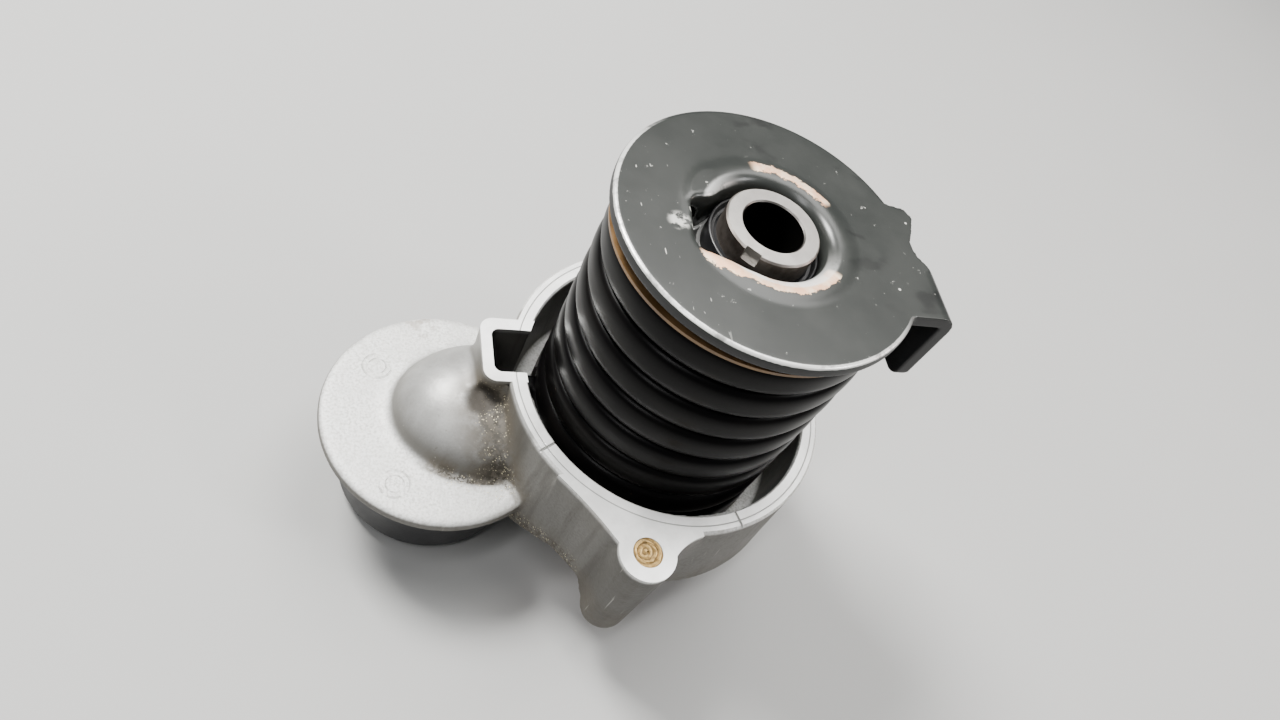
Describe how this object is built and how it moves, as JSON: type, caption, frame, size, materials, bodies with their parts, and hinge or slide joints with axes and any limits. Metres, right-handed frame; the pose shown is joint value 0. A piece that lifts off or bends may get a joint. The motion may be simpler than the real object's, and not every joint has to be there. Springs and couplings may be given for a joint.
{
  "type": "belt tensioner idler",
  "caption": "Spring-loaded belt tensioner: a swinging cast arm with a spring cup and an idler pulley turns on a steel sleeve under a stamped base plate.",
  "frame": {"origin": "pivot axis at the flat top of the base plate", "axes": "+Z along the pivot from the cup towards the engine, -X from the pivot to the pulley axis"},
  "size_m": [0.1283, 0.0973, 0.1127],
  "materials": {
    "coated_steel": "semi-gloss dark coat rubbed to bare metal round the hub",
    "bare_steel": "plain machined steel",
    "seal_rubber": "black moulded rubber",
    "tan_nylon": "tan moulded nylon",
    "dark_nylon": "dark moulded nylon",
    "bush_liner": "plastic bearing liner",
    "spring_steel": "black coated flat wire, semi-gloss",
    "cast_aluminium": "raw die-cast skin, grimy in the recesses",
    "brass_plug": "dull brass with turned marks",
    "zinc_bolt": "zinc plated",
    "bearing_steel": "ground steel",
    "cage_nylon": "moulded nylon",
    "pulley_plastic": "black glass-filled nylon, worn smooth on the belt face",
    "cap_plastic": "black moulded plastic"
  },
  "bodies": {
    "base": {"base_plate": "coated_steel", "pivot_tube": "bare_steel", "seal_ring": "seal_rubber", "upper_spring_seat": "tan_nylon", "upper_thrust_washer": "dark_nylon", "lower_thrust_washer": "dark_nylon", "retaining_flange": "bare_steel", "torsion_spring": "spring_steel"},
    "arm": {"arm_casting": "cast_aluminium", "upper_bush": "bush_liner", "lower_bush": "bush_liner", "lug_plug": "brass_plug", "lower_spring_seat": "dark_nylon", "damper_shoe": "dark_nylon", "pulley_spacer": "bare_steel", "pulley_bolt": "zinc_bolt", "bearing_inner_race": "bearing_steel"},
    "pulley": {"bearing_outer_race": "bearing_steel", "bearing_seal_front": "seal_rubber", "bearing_seal_rear": "seal_rubber", "pulley_rim": "pulley_plastic", "dust_cap": "cap_plastic"},
    "cage": {"bearing_balls": "bearing_steel", "bearing_cage": "cage_nylon"}
  },
  "joints": [
    {"name": "arm_swing", "type": "hinge", "parent": "base", "child": "arm", "pos_m": [0, 0, 0], "axis": [0, 0, -1], "range_deg": [0, 45], "stiffness_Nm_per_rad": 22, "springref_deg": -51.57, "deforming": ["torsion_spring"]},
    {"name": "pulley_spin", "type": "hinge", "parent": "arm", "child": "pulley", "pos_m": [-0.0539, 0, -0.098], "axis": [0, 0, 1], "continuous": true},
    {"name": "cage_orbit", "type": "hinge", "parent": "arm", "child": "cage", "pos_m": [-0.0539, 0, -0.098], "axis": [0, 0, 1], "continuous": true}
  ],
  "couplings": [
    {"joint": "cage_orbit", "follows": "pulley_spin", "ratio": 0.6175}
  ]
}
